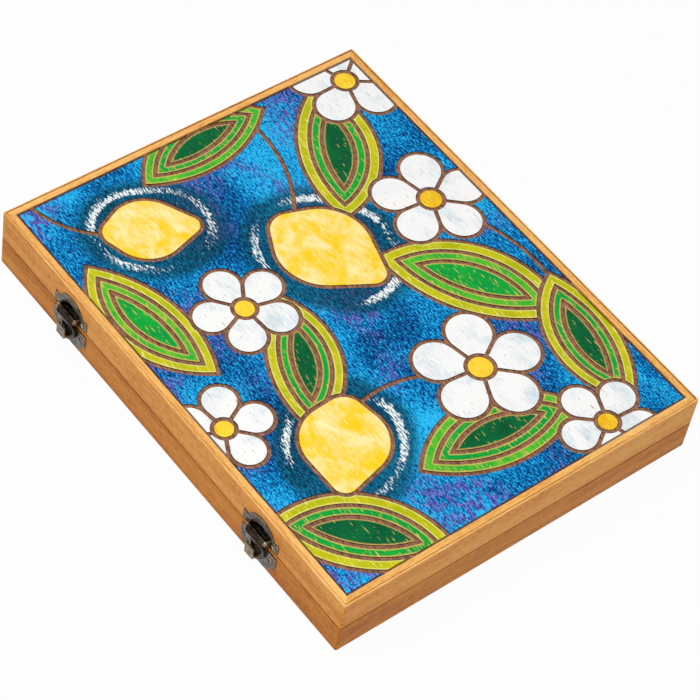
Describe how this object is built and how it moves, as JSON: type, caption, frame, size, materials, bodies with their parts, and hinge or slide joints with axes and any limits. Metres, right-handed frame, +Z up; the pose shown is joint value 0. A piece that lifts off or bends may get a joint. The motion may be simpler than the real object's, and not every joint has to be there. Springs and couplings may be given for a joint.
{
  "type": "travel backgammon set",
  "caption": "Flat wooden backgammon case that opens into its board: painted lid panel, front latches, butt hinges, inlaid points, racked checkers and dice inside.",
  "frame": {"origin": "middle of the underside of the closed case", "axes": "+X along the case's long side to the right as seen from the latches, +Y from the latched front to the hinged back, +Z up out of the lid"},
  "size_m": [0.3, 0.2489, 0.04],
  "materials": {
    "frame_wood": "honey-stained straight-grained wood under a satin lacquer",
    "painted_panel": "carved and painted panel, blue ground with green leaves, white blossoms and yellow fruit",
    "bottom_veneer": "plain stained veneer, satin",
    "field_wood": "stained veneer, satin",
    "light_inlay": "pale maple-like inlay, satin",
    "dark_inlay": "dark walnut-like inlay, satin",
    "aged_bronze": "dark antiqued plating, brassy where it is rubbed",
    "light_checker_wood": "turned pale wood, lacquered",
    "dark_checker_wood": "turned dark wood, lacquered",
    "ivory_plastic": "ivory-coloured plastic with dark pips"
  },
  "bodies": {
    "base": {"base_front_wall": "frame_wood", "base_back_wall": "frame_wood", "base_left_wall": "frame_wood", "base_right_wall": "frame_wood", "base_field_board": "field_wood", "base_points_light": "light_inlay", "base_points_dark": "dark_inlay", "base_rack_divider": "frame_wood", "base_bottom_panel": "bottom_veneer", "hinge_left_base_leaf": "aged_bronze", "hinge_left_pin": "aged_bronze", "hinge_right_base_leaf": "aged_bronze", "hinge_right_pin": "aged_bronze", "hinge_base_screws": "aged_bronze", "latch_left_keeper": "aged_bronze", "latch_right_keeper": "aged_bronze", "latch_keeper_nails": "aged_bronze"},
    "lid": {"lid_front_wall": "frame_wood", "lid_back_wall": "frame_wood", "lid_left_wall": "frame_wood", "lid_right_wall": "frame_wood", "lid_field_board": "field_wood", "lid_points_light": "light_inlay", "lid_points_dark": "dark_inlay", "lid_rack_divider": "frame_wood", "lid_picture_panel": "painted_panel", "hinge_left_lid_leaf": "aged_bronze", "hinge_right_lid_leaf": "aged_bronze", "hinge_lid_screws": "aged_bronze", "latch_left_plate": "aged_bronze", "latch_left_pin": "aged_bronze", "latch_right_plate": "aged_bronze", "latch_right_pin": "aged_bronze", "latch_plate_nails": "aged_bronze"},
    "latch_left_lever": {"latch_left_lever": "aged_bronze"},
    "latch_right_lever": {"latch_right_lever": "aged_bronze"},
    "light_checkers": {"light_checkers": "light_checker_wood"},
    "dark_checkers": {"dark_checkers": "dark_checker_wood"},
    "die_1": {"die_1": "ivory_plastic"},
    "die_2": {"die_2": "ivory_plastic"}
  },
  "joints": [
    {"name": "lid_hinge", "type": "hinge", "parent": "base", "child": "lid", "pos_m": [0, 0.1212, 0.02], "axis": [-1, 0, 0], "range_deg": [0, 180]},
    {"name": "latch_left_swing", "type": "hinge", "parent": "lid", "child": "latch_left_lever", "pos_m": [-0.084, -0.1216, 0.0245], "axis": [-1, 0, 0], "range_deg": [0, 150]},
    {"name": "latch_right_swing", "type": "hinge", "parent": "lid", "child": "latch_right_lever", "pos_m": [0.084, -0.1216, 0.0245], "axis": [-1, 0, 0], "range_deg": [0, 150]},
    {"name": "light_checkers_play", "type": "slide", "parent": "base", "child": "light_checkers", "axis": [1, 0, 0], "range_m": [0, 0.006]},
    {"name": "dark_checkers_play", "type": "slide", "parent": "base", "child": "dark_checkers", "axis": [1, 0, 0], "range_m": [-0.006, 0]},
    {"name": "die_1_play", "type": "slide", "parent": "base", "child": "die_1", "axis": [1, 0, 0], "range_m": [-0.006, 0.0017]},
    {"name": "die_2_play", "type": "slide", "parent": "base", "child": "die_2", "axis": [1, 0, 0], "range_m": [-0.0017, 0.006]}
  ]
}
